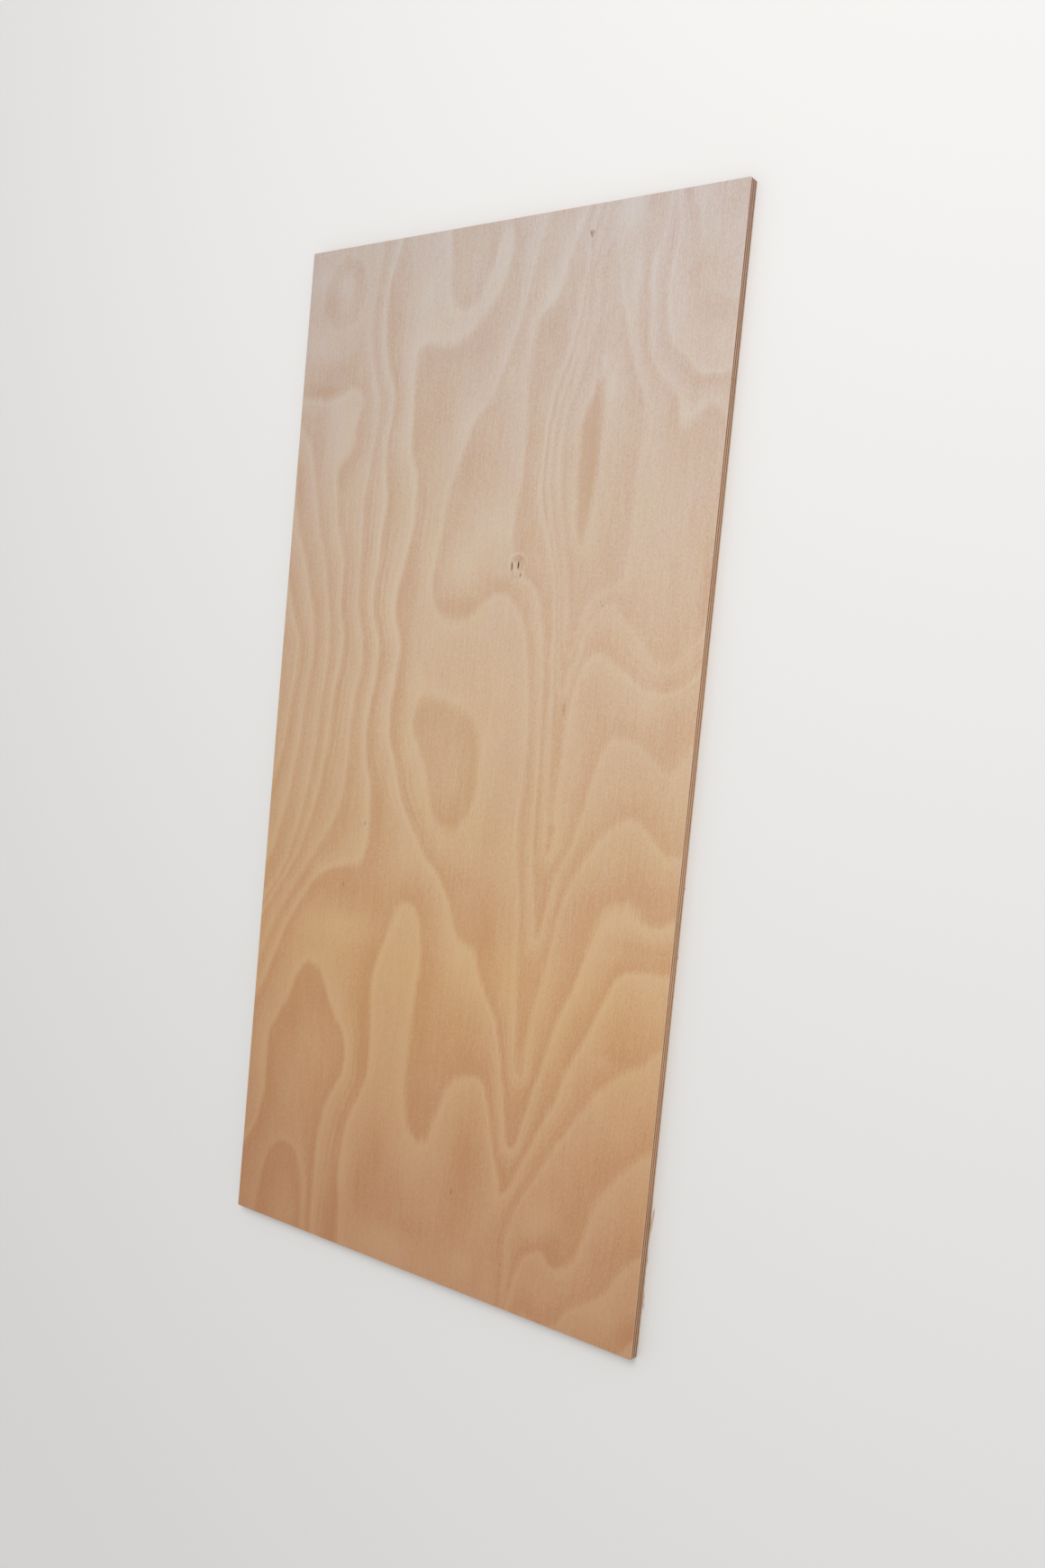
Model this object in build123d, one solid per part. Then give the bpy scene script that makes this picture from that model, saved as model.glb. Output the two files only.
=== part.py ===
from build123d import *
import os
from collections import namedtuple

# A seven-ply plywood sheet, lying flat with its sanded face up.
# The origin is the centre of the sawn sheet, on its underside. +Y runs along the length and the
# grain of the face, +X runs across the width, and +Z runs up through the plies to the face.
# All sizes are in millimetres.

# Sawn size of the sheet
sheet_length = 1200.0
sheet_width = 600.0

# Thickness of each kind of ply. The face veneer is the thinner outside ply, because it is sanded.
face_veneer_thickness = 1.0
crossband_thickness = 2.0
core_thickness = 1.75
back_veneer_thickness = 1.5

# Wear on the sawn outline: rounded corners, and face edges eased by sanding
corner_radius = 1.5
arris_radius = 0.5

# The knot in the face veneer, placed from the centre of the sheet, and the drying checks that
# have opened in it. Each check is placed from the knot, and a skin of wood is left under it.
knot_x = 55.0
knot_y = 218.0
skin_under_checks = 0.3
Check = namedtuple("Check", "dx dy length width tilt")
knot_checks = [
    Check(dx=-5.8, dy=1.8, length=10.0, width=1.6, tilt=3.0),
    Check(dx=3.0, dy=3.0, length=8.5, width=1.7, tilt=-3.0),
    Check(dx=7.0, dy=-8.0, length=4.5, width=1.2, tilt=-14.0),
]

# The torn long edge of the back veneer. Each place is measured up from the sheet's lower end.
# A sliver stands proud of the sawn edge by its reach, and a notch is broken in by its depth.
Sliver = namedtuple("Sliver", "start peak end reach")
slivers = [
    Sliver(start=95.0, peak=159.0, end=150.0, reach=3.6),
    Sliver(start=92.0, peak=105.0, end=115.0, reach=1.5),
    Sliver(start=56.0, peak=67.0, end=82.0, reach=1.7),
    Sliver(start=54.5, peak=57.0, end=60.0, reach=2.3),
    Sliver(start=416.0, peak=424.0, end=444.0, reach=1.0),
    Sliver(start=494.5, peak=495.6, end=497.5, reach=1.4),
]
sliver_root = 3.0

# The gap that opens behind the longest sliver. Each corner is an offset out from the sawn edge and
# a place along it.
sliver_gap = [(0.2, 133.0), (3.1, 159.5), (-0.9, 162.0)]

Notch = namedtuple("Notch", "start peak end depth")
notches = [
    Notch(start=79.0, peak=82.0, end=86.0, depth=1.2),
    Notch(start=45.0, peak=50.0, end=54.0, depth=3.2),
    Notch(start=27.0, peak=34.0, end=43.0, depth=1.8),
    Notch(start=-8.0, peak=3.0, end=29.0, depth=3.0),
]

# The plies from the underside up: a name, and a thickness
plies = [
    ("back_veneer", back_veneer_thickness),
    ("back_crossband", crossband_thickness),
    ("back_core", core_thickness),
    ("middle_crossband", crossband_thickness),
    ("face_core", core_thickness),
    ("face_crossband", crossband_thickness),
    ("face_veneer", face_veneer_thickness),
]

right_edge = sheet_width / 2
lower_end = -sheet_length / 2


def sawn_ply(underside, thickness):
    """One ply as sawn: the sheet's outline with worn corners, one veneer thick."""
    outline = RectangleRounded(sheet_width, sheet_length, corner_radius)
    return Pos(0, 0, underside) * extrude(outline, thickness)


def edge_shape(corners, thickness):
    """A thin shape on the right edge, with corners given as an offset out and a place along."""
    outline = [(right_edge + out, lower_end + along) for out, along in corners]
    return extrude(make_face(Polyline(outline, close=True)), thickness)


def edge_wedge(place, root, tip, thickness):
    """A thin wedge on the right edge: its root line and its tip are offsets from that edge."""
    return edge_shape([(root, place.start), (tip, place.peak), (root, place.end)], thickness)


def torn_back_veneer():
    """The back veneer with its broken notches, and with splinters standing out of its edge."""
    ply = sawn_ply(0, back_veneer_thickness)
    for notch in notches:
        ply -= edge_wedge(notch, notch.depth, -notch.depth, back_veneer_thickness)
    for sliver in slivers:
        ply += edge_wedge(sliver, -sliver_root, sliver.reach, back_veneer_thickness)
    return ply - edge_shape(sliver_gap, back_veneer_thickness)


def sanded_face_veneer(underside):
    """The face veneer with its upper edges eased, and the drying checks cut at the knot."""
    ply = sawn_ply(underside, face_veneer_thickness)
    upper_edges = ply.faces().sort_by(Axis.Z)[-1].outer_wire().edges()
    ply = fillet(upper_edges, min(arris_radius, face_veneer_thickness / 2))
    for check in knot_checks:
        lens = Ellipse(check.width / 2, check.length / 2)
        floor = Pos(knot_x + check.dx, knot_y + check.dy, underside + skin_under_checks)
        ply -= floor * Rot(0, 0, check.tilt) * extrude(lens, face_veneer_thickness)
    return ply


os.makedirs("parts", exist_ok=True)
underside = 0.0
for name, thickness in plies:
    if name == "back_veneer":
        solid = torn_back_veneer()
    elif name == "face_veneer":
        solid = sanded_face_veneer(underside)
    else:
        solid = sawn_ply(underside, thickness)
    export_step(solid, f"parts/{name}.step")
    underside += thickness
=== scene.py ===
"""Looks of a sheet of seven-ply plywood that lies flat with its sanded face up.

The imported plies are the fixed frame. The face veneer is remade as a finely divided veneer that
carries its growth-ring figure, the other plies keep their shape and get wood finishes, and the
right-hand edge gets the loose fibres that sawing and tearing left. Sizes are in metres unless a
name or a docstring says millimetres.
"""

import logging
import math
from dataclasses import dataclass, replace
from enum import Enum
from functools import partial, reduce
from typing import Mapping, Sequence, Union

import bmesh
import bpy
import numpy as np
from mathutils import Color, Matrix, Vector

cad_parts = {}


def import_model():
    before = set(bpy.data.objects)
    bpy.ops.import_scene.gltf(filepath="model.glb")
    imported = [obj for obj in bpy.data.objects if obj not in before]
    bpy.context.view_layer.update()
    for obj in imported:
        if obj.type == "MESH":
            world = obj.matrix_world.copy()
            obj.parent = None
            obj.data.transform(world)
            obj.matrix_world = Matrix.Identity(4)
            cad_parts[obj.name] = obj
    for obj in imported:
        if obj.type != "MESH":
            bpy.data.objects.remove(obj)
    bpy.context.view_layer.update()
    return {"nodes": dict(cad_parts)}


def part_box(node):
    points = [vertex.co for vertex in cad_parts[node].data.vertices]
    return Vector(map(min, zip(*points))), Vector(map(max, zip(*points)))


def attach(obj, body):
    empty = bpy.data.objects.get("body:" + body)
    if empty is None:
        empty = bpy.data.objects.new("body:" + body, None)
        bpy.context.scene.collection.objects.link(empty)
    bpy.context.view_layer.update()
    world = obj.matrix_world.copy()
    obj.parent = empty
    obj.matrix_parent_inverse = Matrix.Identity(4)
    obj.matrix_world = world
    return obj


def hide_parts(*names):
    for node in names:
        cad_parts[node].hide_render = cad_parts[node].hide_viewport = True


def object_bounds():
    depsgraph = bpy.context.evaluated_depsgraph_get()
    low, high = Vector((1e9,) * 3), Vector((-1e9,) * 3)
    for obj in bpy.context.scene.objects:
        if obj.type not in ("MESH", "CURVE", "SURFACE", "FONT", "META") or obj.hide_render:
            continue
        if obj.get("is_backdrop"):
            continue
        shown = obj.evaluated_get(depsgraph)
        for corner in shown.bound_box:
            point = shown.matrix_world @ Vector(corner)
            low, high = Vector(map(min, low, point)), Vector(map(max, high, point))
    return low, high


log = logging.getLogger("plywood_sheet")

MM = 0.001
SHEET_LENGTH = 1.2
SHEET_WIDTH = 0.6
ROOT = "root"
X, Y, Z = range(3)
Triple = tuple[float, float, float]
Colour = tuple[float, float, float, float]
Stops = tuple[tuple[float, Colour], ...]
Socket = bpy.types.NodeSocket
Feed = Union[Socket, float, Sequence[float]]
WHITE: Colour = (1.0, 1.0, 1.0, 1.0)


def paint(red: int, green: int, blue: int) -> Colour:
    """Turn a colour as a screen shows it, 0 to 255, into the shader's linear values."""
    return (*Color((red / 255, green / 255, blue / 255)).from_srgb_to_scene_linear(), 1.0)


def placed(name: str, data: bpy.types.ID) -> bpy.types.Object:
    """Put a mesh, a lamp or a camera into the scene.

    Args:
        name: The object's name.
        data: The mesh, lamp or camera.

    Returns:
        The object, at the origin.
    """
    thing = bpy.data.objects.new(name, data)
    bpy.context.scene.collection.objects.link(thing)
    return thing


@dataclass(frozen=True)
class Slope:
    """A level that eases from its start to its end while a value crosses from low to high."""

    low: Feed
    high: Feed
    start: Feed = 0.0
    end: Feed = 1.0


@dataclass(frozen=True)
class Pattern:
    """A cloudy pattern.

    Its scale is clouds in a metre along each axis. Detail is its finer octaves, and rough is how
    strong they are. A slope eases its value further. The weight is its share in a tone, and the
    relief is its share in a bump.
    """

    scale: Triple
    detail: float = 2.0
    rough: float = 0.6
    weight: float = 0.0
    relief: float = 0.0
    slope: Union[Slope, None] = None


class NodeSheet:
    """A node tree being written, with one short call for each kind of node used here."""

    NOISE_GAIN = 3.0

    def __init__(self, tree: bpy.types.NodeTree) -> None:
        """Start writing into a tree."""
        self.tree = tree

    def feed(self, socket: Socket, value: Feed) -> None:
        """Link an output to an input, or write a plain value on it.

        Args:
            socket: The input.
            value: An output socket, a number or a row of numbers.
        """
        if isinstance(value, Socket):
            self.tree.links.new(value, socket)
        else:
            socket.default_value = value

    def add(
        self, kind: str, inputs: Union[Mapping[str, Feed], Sequence[Feed]] = (), **settings: object
    ) -> bpy.types.Node:
        """Add a node.

        Args:
            kind: The node's type name.
            inputs: What its inputs take, by name or in order.
            settings: Properties of the node to set.

        Returns:
            The new node.
        """
        node = self.tree.nodes.new(kind)
        for name, value in settings.items():
            setattr(node, name, value)
        for key, value in inputs.items() if isinstance(inputs, dict) else enumerate(inputs):
            self.feed(node.inputs[key], value)
        return node

    def math(self, operation: str, *values: Feed) -> Socket:
        """Work out a Math node's operation on one, two or three values."""
        return self.add("ShaderNodeMath", values, operation=operation).outputs[0]

    def total(self, *terms: Feed) -> Socket:
        """Add several values up."""
        return reduce(partial(self.math, "ADD"), terms)

    def times(self, *factors: Feed) -> Socket:
        """Multiply several values."""
        return reduce(partial(self.math, "MULTIPLY"), factors)

    def vector(self, operation: str, *values: Feed) -> Socket:
        """Work out a Vector Math node's operation that gives a vector."""
        return self.add("ShaderNodeVectorMath", values, operation=operation).outputs["Vector"]

    def length(self, vector: Feed) -> Socket:
        """Measure a vector."""
        return self.add("ShaderNodeVectorMath", (vector,), operation="LENGTH").outputs["Value"]

    def split(self, vector: Feed) -> list[Socket]:
        """Split a vector into its X, Y and Z."""
        return list(self.add("ShaderNodeSeparateXYZ", (vector,)).outputs)

    def attribute(self, name: str) -> Socket:
        """Read a number stored on the piece's points."""
        return self.add("ShaderNodeAttribute", attribute_name=name).outputs["Fac"]

    def place(self) -> Socket:
        """Read the point's place on the piece."""
        return self.add("ShaderNodeTexCoord").outputs["Object"]

    def facing(self, axis: int) -> Socket:
        """Read how squarely the surface faces up one of the piece's axes, -1 to 1."""
        return self.split(self.add("ShaderNodeTexCoord").outputs["Normal"])[axis]

    def squarely(self, axis: int) -> Socket:
        """Read how squarely the surface faces along an axis either way, 0 to 1."""
        return self.math("ABSOLUTE", self.facing(axis))

    def slope(self, value: Feed, slope: Slope) -> Socket:
        """Read a slope's level at a value."""
        values = (value, slope.low, slope.high, slope.start, slope.end)
        return self.add("ShaderNodeMapRange", values, interpolation_type="SMOOTHSTEP").outputs["Result"]

    def noise(self, vector: Feed, pattern: Pattern) -> Socket:
        """Make a pattern.

        Args:
            vector: The coordinates, in metres.
            pattern: The pattern.

        Returns:
            Its value, about -1 to 1 and averaging zero, or its slope's level at that value.
        """
        scaled = self.vector("MULTIPLY", vector, pattern.scale)
        inputs = {"Vector": scaled, "Scale": 1.0, "Detail": pattern.detail, "Roughness": pattern.rough}
        clouds = self.add("ShaderNodeTexNoise", inputs).outputs["Fac"]
        value = self.times(self.math("SUBTRACT", clouds, 0.5), self.NOISE_GAIN)
        return self.slope(value, pattern.slope) if pattern.slope else value

    def shares(self, vector: Feed, patterns: Sequence[Pattern]) -> tuple[list[Socket], list[Socket]]:
        """Make several patterns.

        Args:
            vector: The coordinates, in metres.
            patterns: The patterns.

        Returns:
            Their shares in the tone, and their shares in the relief.
        """
        made = [(self.noise(vector, pattern), pattern) for pattern in patterns]
        tones = [self.times(value, pattern.weight) for value, pattern in made if pattern.weight]
        reliefs = [self.times(value, pattern.relief) for value, pattern in made if pattern.relief]
        return tones, reliefs

    def ramp(self, value: Feed, stops: Stops, gain: float = 0.5) -> Socket:
        """Turn a value that is zero in the middle of a row of colours into a colour.

        Args:
            value: The value.
            stops: Places from 0 to 1, and the colour at each.
            gain: How much of the row one unit of the value covers.

        Returns:
            The colour.
        """
        node = self.add("ShaderNodeValToRGB", (self.math("MULTIPLY_ADD", value, gain, 0.5),))
        elements = node.color_ramp.elements
        while len(elements) < len(stops):
            elements.new(1.0)
        for element, (place, colour) in zip(elements, stops):
            element.position = place
            element.color = colour
        return node.outputs["Color"]

    def random(self, kind: str, seed: Feed, **inputs: Feed) -> Socket:
        """Draw a random value for each point, with the node's other inputs by name."""
        return self.add("FunctionNodeRandomValue", {**inputs, "Seed": seed}, data_type=kind).outputs["Value"]

    def mix(self, share: Feed, first: Feed, second: Feed, blend: str = "MIX") -> Socket:
        """Mix two colours.

        Args:
            share: How much of the second colour is taken.
            first: The first colour.
            second: The second colour.
            blend: The way of mixing.

        Returns:
            The mixed colour.
        """
        node = self.add("ShaderNodeMix", {"Factor": share}, data_type="RGBA", blend_type=blend)
        colours = [socket for socket in node.inputs if socket.type == "RGBA"]
        for socket, colour in zip(colours, (first, second)):
            self.feed(socket, colour)
        return next(socket for socket in node.outputs if socket.type == "RGBA")

    def tinted(self, colour: Feed, tint: Feed) -> Socket:
        """Multiply a colour by another."""
        return self.mix(1.0, colour, tint, "MULTIPLY")


class MaterialSheet(NodeSheet):
    """The nodes of a material being written. Its gloss is dry bare wood's, unless it is given."""

    def __init__(self, name: str, roughness: float = 0.62, specular: float = 0.3) -> None:
        """Start a material.

        Args:
            name: The material's name.
            roughness: How matt it is.
            specular: How bright its reflections are.
        """
        self.material = bpy.data.materials.new(name)
        self.material.use_nodes = True
        super().__init__(self.material.node_tree)
        self.shader = self.tree.nodes["Principled BSDF"]
        self.feed(self.shader.inputs["Roughness"], roughness)
        self.feed(self.shader.inputs["Specular IOR Level"], specular)

    def finish(self, colour: Feed, relief: Feed = 0.0, depth: float = 0.0) -> bpy.types.Material:
        """Give the material its colour and its relief.

        Args:
            colour: The colour.
            relief: The height of its fine relief.
            depth: What a height of 1 stands for, in metres, or 0 where there is no relief.

        Returns:
            The material.
        """
        self.feed(self.shader.inputs["Base Color"], colour)
        if depth:
            bump = self.add("ShaderNodeBump", {"Height": relief, "Distance": depth})
            self.feed(self.shader.inputs["Normal"], bump.outputs["Normal"])
        return self.material


@dataclass(frozen=True)
class RingLine:
    """One growth ring as it shows on the rotary-cut face.

    The wood is palest just before the line and darkest just past it, on the way to the next
    level. Points are in millimetres from the centre of the sheet.
    """

    level: int
    points: tuple[tuple[float, float], ...]
    closed: bool = False

    def walk(self, stride: float) -> np.ndarray:
        """Follow the ring through its points, along a Catmull-Rom curve.

        Args:
            stride: The distance between the samples, in millimetres.

        Returns:
            The samples, one row each.
        """
        own = np.array(self.points, float)
        if self.closed:
            own = np.vstack([own, own[:1]])
            before, after = own[-2], own[1]
        else:
            before, after = 2 * own[0] - own[1], 2 * own[-1] - own[-2]
        track = np.vstack([before, own, after])
        runs = [own[-1:]]
        for a, b, c, d in zip(track, track[1:], track[2:], track[3:]):
            count = max(1, round(math.dist(b, c) / stride))
            t = (np.arange(count) / count)[:, None]
            bend = (2 * a - 5 * b + 4 * c - d) * t**2 + (3 * b - a - 3 * c + d) * t**3
            runs.append(b + 0.5 * ((c - a) * t + bend))
        return np.vstack(runs)


@dataclass(frozen=True)
class Oval:
    """An oval on the face, in millimetres from the centre of the sheet or of the knot."""

    x: float
    y: float
    half_width: float
    half_length: float

    def away(self, x: np.ndarray, y: np.ndarray) -> tuple[np.ndarray, np.ndarray]:
        """Say how far points lie from the centre across and along, counted in half sizes."""
        return (x - self.x) / self.half_width, (y - self.y) / self.half_length


@dataclass(frozen=True)
class Patch(Oval):
    """A cloud or a fleck in the face.

    Its tone makes the wood paler or darker, and its relief makes the rings stronger or fainter.
    """

    tone: float
    relief: float = 0.0

    def cloud(self, x: np.ndarray, y: np.ndarray) -> np.ndarray:
        """Say how thick the cloud is at points, 1 in its middle."""
        across, along = self.away(x, y)
        return np.exp(-(across**2 + along**2))


# The rings as read from the wood: each one's level, and points along its line
RING_LINES = (
    RingLine(1, (
        (-300, 205), (-285, 160), (-272, 135), (-270, 97), (-277, 50), (-283, 0), (-300, -60),
    )),
    RingLine(2, (
        (-300, 330), (-288, 265), (-273, 233), (-260, 190), (-248, 145), (-245, 115), (-250, 71),
        (-256, 10), (-264, -43), (-274, -90), (-286, -132), (-300, -158),
    )),
    RingLine(3, (
        (-300, 396), (-286, 378), (-273, 355), (-266, 325), (-258, 290), (-248, 255), (-236, 225),
        (-229, 190), (-222, 155), (-219, 120), (-221, 90), (-226, 40), (-229, -10), (-240, -70),
        (-252, -118), (-272, -165), (-300, -203),
    )),
    RingLine(4, (
        (-300, 426), (-274, 423), (-251, 420), (-235, 426), (-213, 432), (-201, 426), (-196, 412),
        (-204, 385), (-207, 359), (-225, 339), (-228, 322), (-223, 280), (-214, 245), (-205, 222),
        (-204, 170), (-198, 146), (-195, 120), (-202, 74), (-206, 25), (-210, -10), (-217, -55),
        (-229, -97), (-245, -139), (-272, -180), (-286, -202), (-300, -222),
    )),
    RingLine(5, (
        (-181, 600), (-185, 571), (-188, 542), (-190, 504), (-187, 470), (-178, 438), (-170, 414),
        (-169, 385), (-176, 330), (-180, 300), (-178, 250), (-177, 204), (-176, 168), (-168, 145),
        (-163, 120), (-163, 95), (-170, 62), (-172, 25), (-171, -10), (-174, -52), (-181, -75),
        (-198, -107), (-222, -142), (-245, -178), (-264, -206), (-284, -245), (-300, -282),
    )),
    RingLine(5, (
        (-275, 545), (-262, 515), (-240, 505), (-218, 515), (-208, 545), (-215, 575), (-238, 588),
        (-262, 575),
    ), closed=True),
    RingLine(6, (
        (-152, 600), (-160, 574), (-168, 545), (-169, 525), (-165, 484), (-159, 452), (-147, 420),
        (-147, 397), (-151, 368), (-149, 335), (-144, 300), (-148, 260), (-149, 222), (-152, 190),
        (-150, 164), (-143, 143), (-137, 120), (-138, 86), (-144, 50), (-145, 25), (-141, -10), (-134, -35),
        (-129, -72), (-129, -107), (-135, -129), (-149, -139), (-185, -147), (-216, -170), (-240, -205),
        (-258, -236), (-274, -275), (-288, -308), (-300, -330),
    )),
    RingLine(6, (
        (-126, -600), (-127, -561), (-130, -529), (-132, -497), (-129, -468), (-123, -445), (-114, -422),
        (-103, -396), (-98, -370), (-100, -330), (-104, -290), (-103, -261), (-93, -229), (-82, -203),
        (-74, -180), (-59, -172), (-42, -180), (-36, -197), (-31, -232), (-33, -261), (-36, -300),
        (-38, -376), (-34, -415), (-24, -436), (-10, -445), (1, -438), (9, -412), (17, -388), (28, -365),
        (45, -354), (62, -351), (76, -359), (86, -381), (94, -412), (103, -440), (111, -460), (117, -471),
        (124, -462), (135, -437), (145, -415), (155, -393), (165, -372), (175, -350), (184, -324),
        (193, -302), (203, -283), (212, -262), (222, -238), (232, -215), (245, -202), (270, -196),
        (300, -195),
    )),
    RingLine(5, (
        (126, -600), (126, -560), (124, -530), (129, -502), (136, -480), (146, -461), (156, -443),
        (168, -424), (180, -402), (192, -382), (203, -366), (215, -350), (226, -333), (240, -318),
        (254, -307), (270, -297), (285, -286), (300, -272),
    )),
    RingLine(4, (
        (133, -600), (143, -552), (155, -531), (170, -520), (185, -530), (200, -532), (215, -520),
        (226, -490), (235, -457), (250, -430), (269, -405), (300, -378),
    )),
    RingLine(3, (
        (195, -600), (215, -574), (240, -557), (258, -541), (270, -522), (285, -501), (300, -488),
    )),
    RingLine(7, (
        (5, 600), (12, 577), (10, 552), (0, 526), (-25, 493), (-48, 472), (-62, 467), (-86, 470),
        (-106, 472), (-115, 465), (-116, 438), (-114, 412), (-112, 354), (-100, 322), (-97, 290),
        (-99, 262), (-104, 238), (-112, 205), (-116, 184), (-114, 158), (-106, 138), (-102, 120),
        (-105, 97), (-110, 55), (-108, 22), (-100, 0), (-91, -23), (-84, -46), (-71, -67), (-53, -93),
        (-39, -113), (-21, -128), (-7, -146), (7, -168), (14, -190), (22, -202), (42, -207), (51, -220),
        (60, -243), (74, -265), (86, -286), (95, -318), (103, -352), (110, -388), (114, -410), (121, -420),
        (128, -411), (134, -385), (142, -352), (150, -325), (157, -300), (163, -278), (173, -250),
        (184, -226), (193, -200), (200, -174), (207, -153), (221, -134), (238, -128), (252, -132),
        (265, -146), (280, -148), (300, -136),
    )),
    RingLine(7, (
        (-74, 610), (-75, 560), (-72, 530), (-60, 512), (-42, 510), (-25, 530), (-13, 560), (-6, 610),
    ), closed=True),
    RingLine(7, (
        (-297, -517), (-285, -497), (-275, -474), (-269, -440), (-270, -405), (-269, -370), (-256, -343),
        (-238, -312), (-228, -284), (-210, -267), (-190, -275), (-175, -301), (-157, -326), (-142, -346),
        (-138, -367), (-140, -393), (-152, -413), (-163, -435), (-170, -470), (-172, -510), (-172, -550),
        (-171, -600),
    )),
    RingLine(8, (
        (-270, -600), (-264, -560), (-256, -525), (-245, -506), (-225, -497), (-205, -508), (-193, -545),
        (-188, -600),
    )),
    RingLine(8, (
        (60, 600), (52, 574), (46, 548), (39, 510), (31, 482), (22, 456), (12, 432), (0, 402), (-12, 392),
        (-22, 380), (-33, 348), (-45, 316), (-51, 290), (-55, 257), (-60, 222), (-62, 195), (-52, 172),
        (-35, 160), (-16, 159), (0, 166), (12, 178), (25, 187), (45, 189), (55, 183), (66, 170), (75, 152),
        (82, 125), (88, 90), (92, 50), (94, 10), (92, -40), (92, -80), (98, -118), (104, -160), (107, -205),
        (110, -240), (114, -285), (118, -318), (122, -337), (125, -318), (128, -290), (133, -260),
        (141, -230), (147, -197), (151, -168), (158, -139), (170, -110), (185, -84), (199, -66), (216, -48),
        (238, -39), (253, -46), (266, -60), (280, -72), (300, -72),
    )),
    RingLine(8, (
        (-65, 67), (-25, 65), (10, 47), (22, 24), (27, -16), (22, -51), (6, -71), (-10, -75), (-29, -67),
        (-41, -43), (-49, -12), (-65, 16), (-73, 35), (-69, 59),
    ), closed=True),
    RingLine(9, (
        (112, 597), (97, 565), (89, 540), (84, 520), (76, 503), (60, 492), (53, 470), (51, 440), (50, 415),
        (53, 380), (54, 350), (54, 320), (51, 290), (47, 250), (62, 216), (78, 202), (88, 192), (95, 170),
        (101, 145), (105, 112), (108, 80), (110, 39), (112, -10), (114, -75), (118, -115), (124, -150),
        (130, -184), (134, -172), (139, -145), (144, -116), (150, -100), (160, -82), (168, -60), (175, -35),
        (181, -5), (188, 17), (198, 37), (212, 43), (228, 41), (242, 32), (258, 20), (274, 13), (288, 27),
        (300, 45),
    )),
    RingLine(10, (
        (118, 556), (117, 530), (113, 500), (109, 475), (104, 452), (97, 430), (89, 409), (84, 380),
        (83, 350), (82, 318), (82, 300), (90, 268), (101, 240), (110, 212), (114, 185), (118, 146),
        (120, 112), (124, 68), (126, 10), (128, -45), (131, -88), (134, -55), (136, -20), (139, 10),
        (140, 45), (145, 80), (150, 102), (158, 118), (170, 129), (181, 131), (193, 122), (210, 111),
        (228, 99), (245, 93), (263, 93), (280, 100), (295, 114), (300, 120),
    )),
    RingLine(11, (
        (122, 530), (120, 484), (114, 450), (107, 425), (99, 403), (93, 380), (91, 345), (91, 310),
        (97, 280), (107, 243), (114, 216), (118, 184), (122, 149), (126, 114), (130, 88), (137, 103),
        (146, 128), (154, 150), (164, 168), (176, 180), (188, 183), (197, 172), (210, 161), (224, 147),
        (238, 131), (249, 123), (262, 122), (274, 130), (286, 143), (300, 163),
    )),
    RingLine(12, (
        (135, 548), (135, 484), (129, 461), (123, 435), (115, 409), (106, 380), (103, 345), (106, 310),
        (110, 285), (118, 248), (126, 213), (131, 184), (135, 160), (140, 134), (146, 156), (154, 182),
        (170, 197), (188, 203), (196, 220), (199, 250), (200, 290), (201, 325), (204, 353), (203, 385),
        (193, 406), (184, 426), (176, 449), (170, 472), (161, 494), (155, 520), (149, 548),
    )),
    RingLine(13, (
        (144, 414), (137, 400), (130, 385), (126, 368), (126, 330), (128, 290), (132, 260), (138, 242),
        (143, 256), (148, 290), (150, 330), (151, 370), (151, 392), (149, 404),
    ), closed=True),
    RingLine(11, (
        (209, 600), (205, 571), (199, 545), (195, 525), (197, 498), (198, 475), (200, 449), (206, 429),
        (218, 414), (232, 402), (241, 388), (243, 372), (250, 358), (260, 362), (270, 376), (280, 382),
        (291, 377), (300, 366),
    )),
    RingLine(10, (
        (217, 600), (220, 570), (220, 550), (216, 522), (217, 490), (222, 460), (232, 440), (246, 430),
        (256, 417), (270, 411), (288, 410), (300, 414),
    )),
    RingLine(9, (
        (238, 600), (243, 580), (247, 560), (250, 538), (253, 515), (262, 498), (280, 488), (300, 480),
    )),
)

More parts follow.
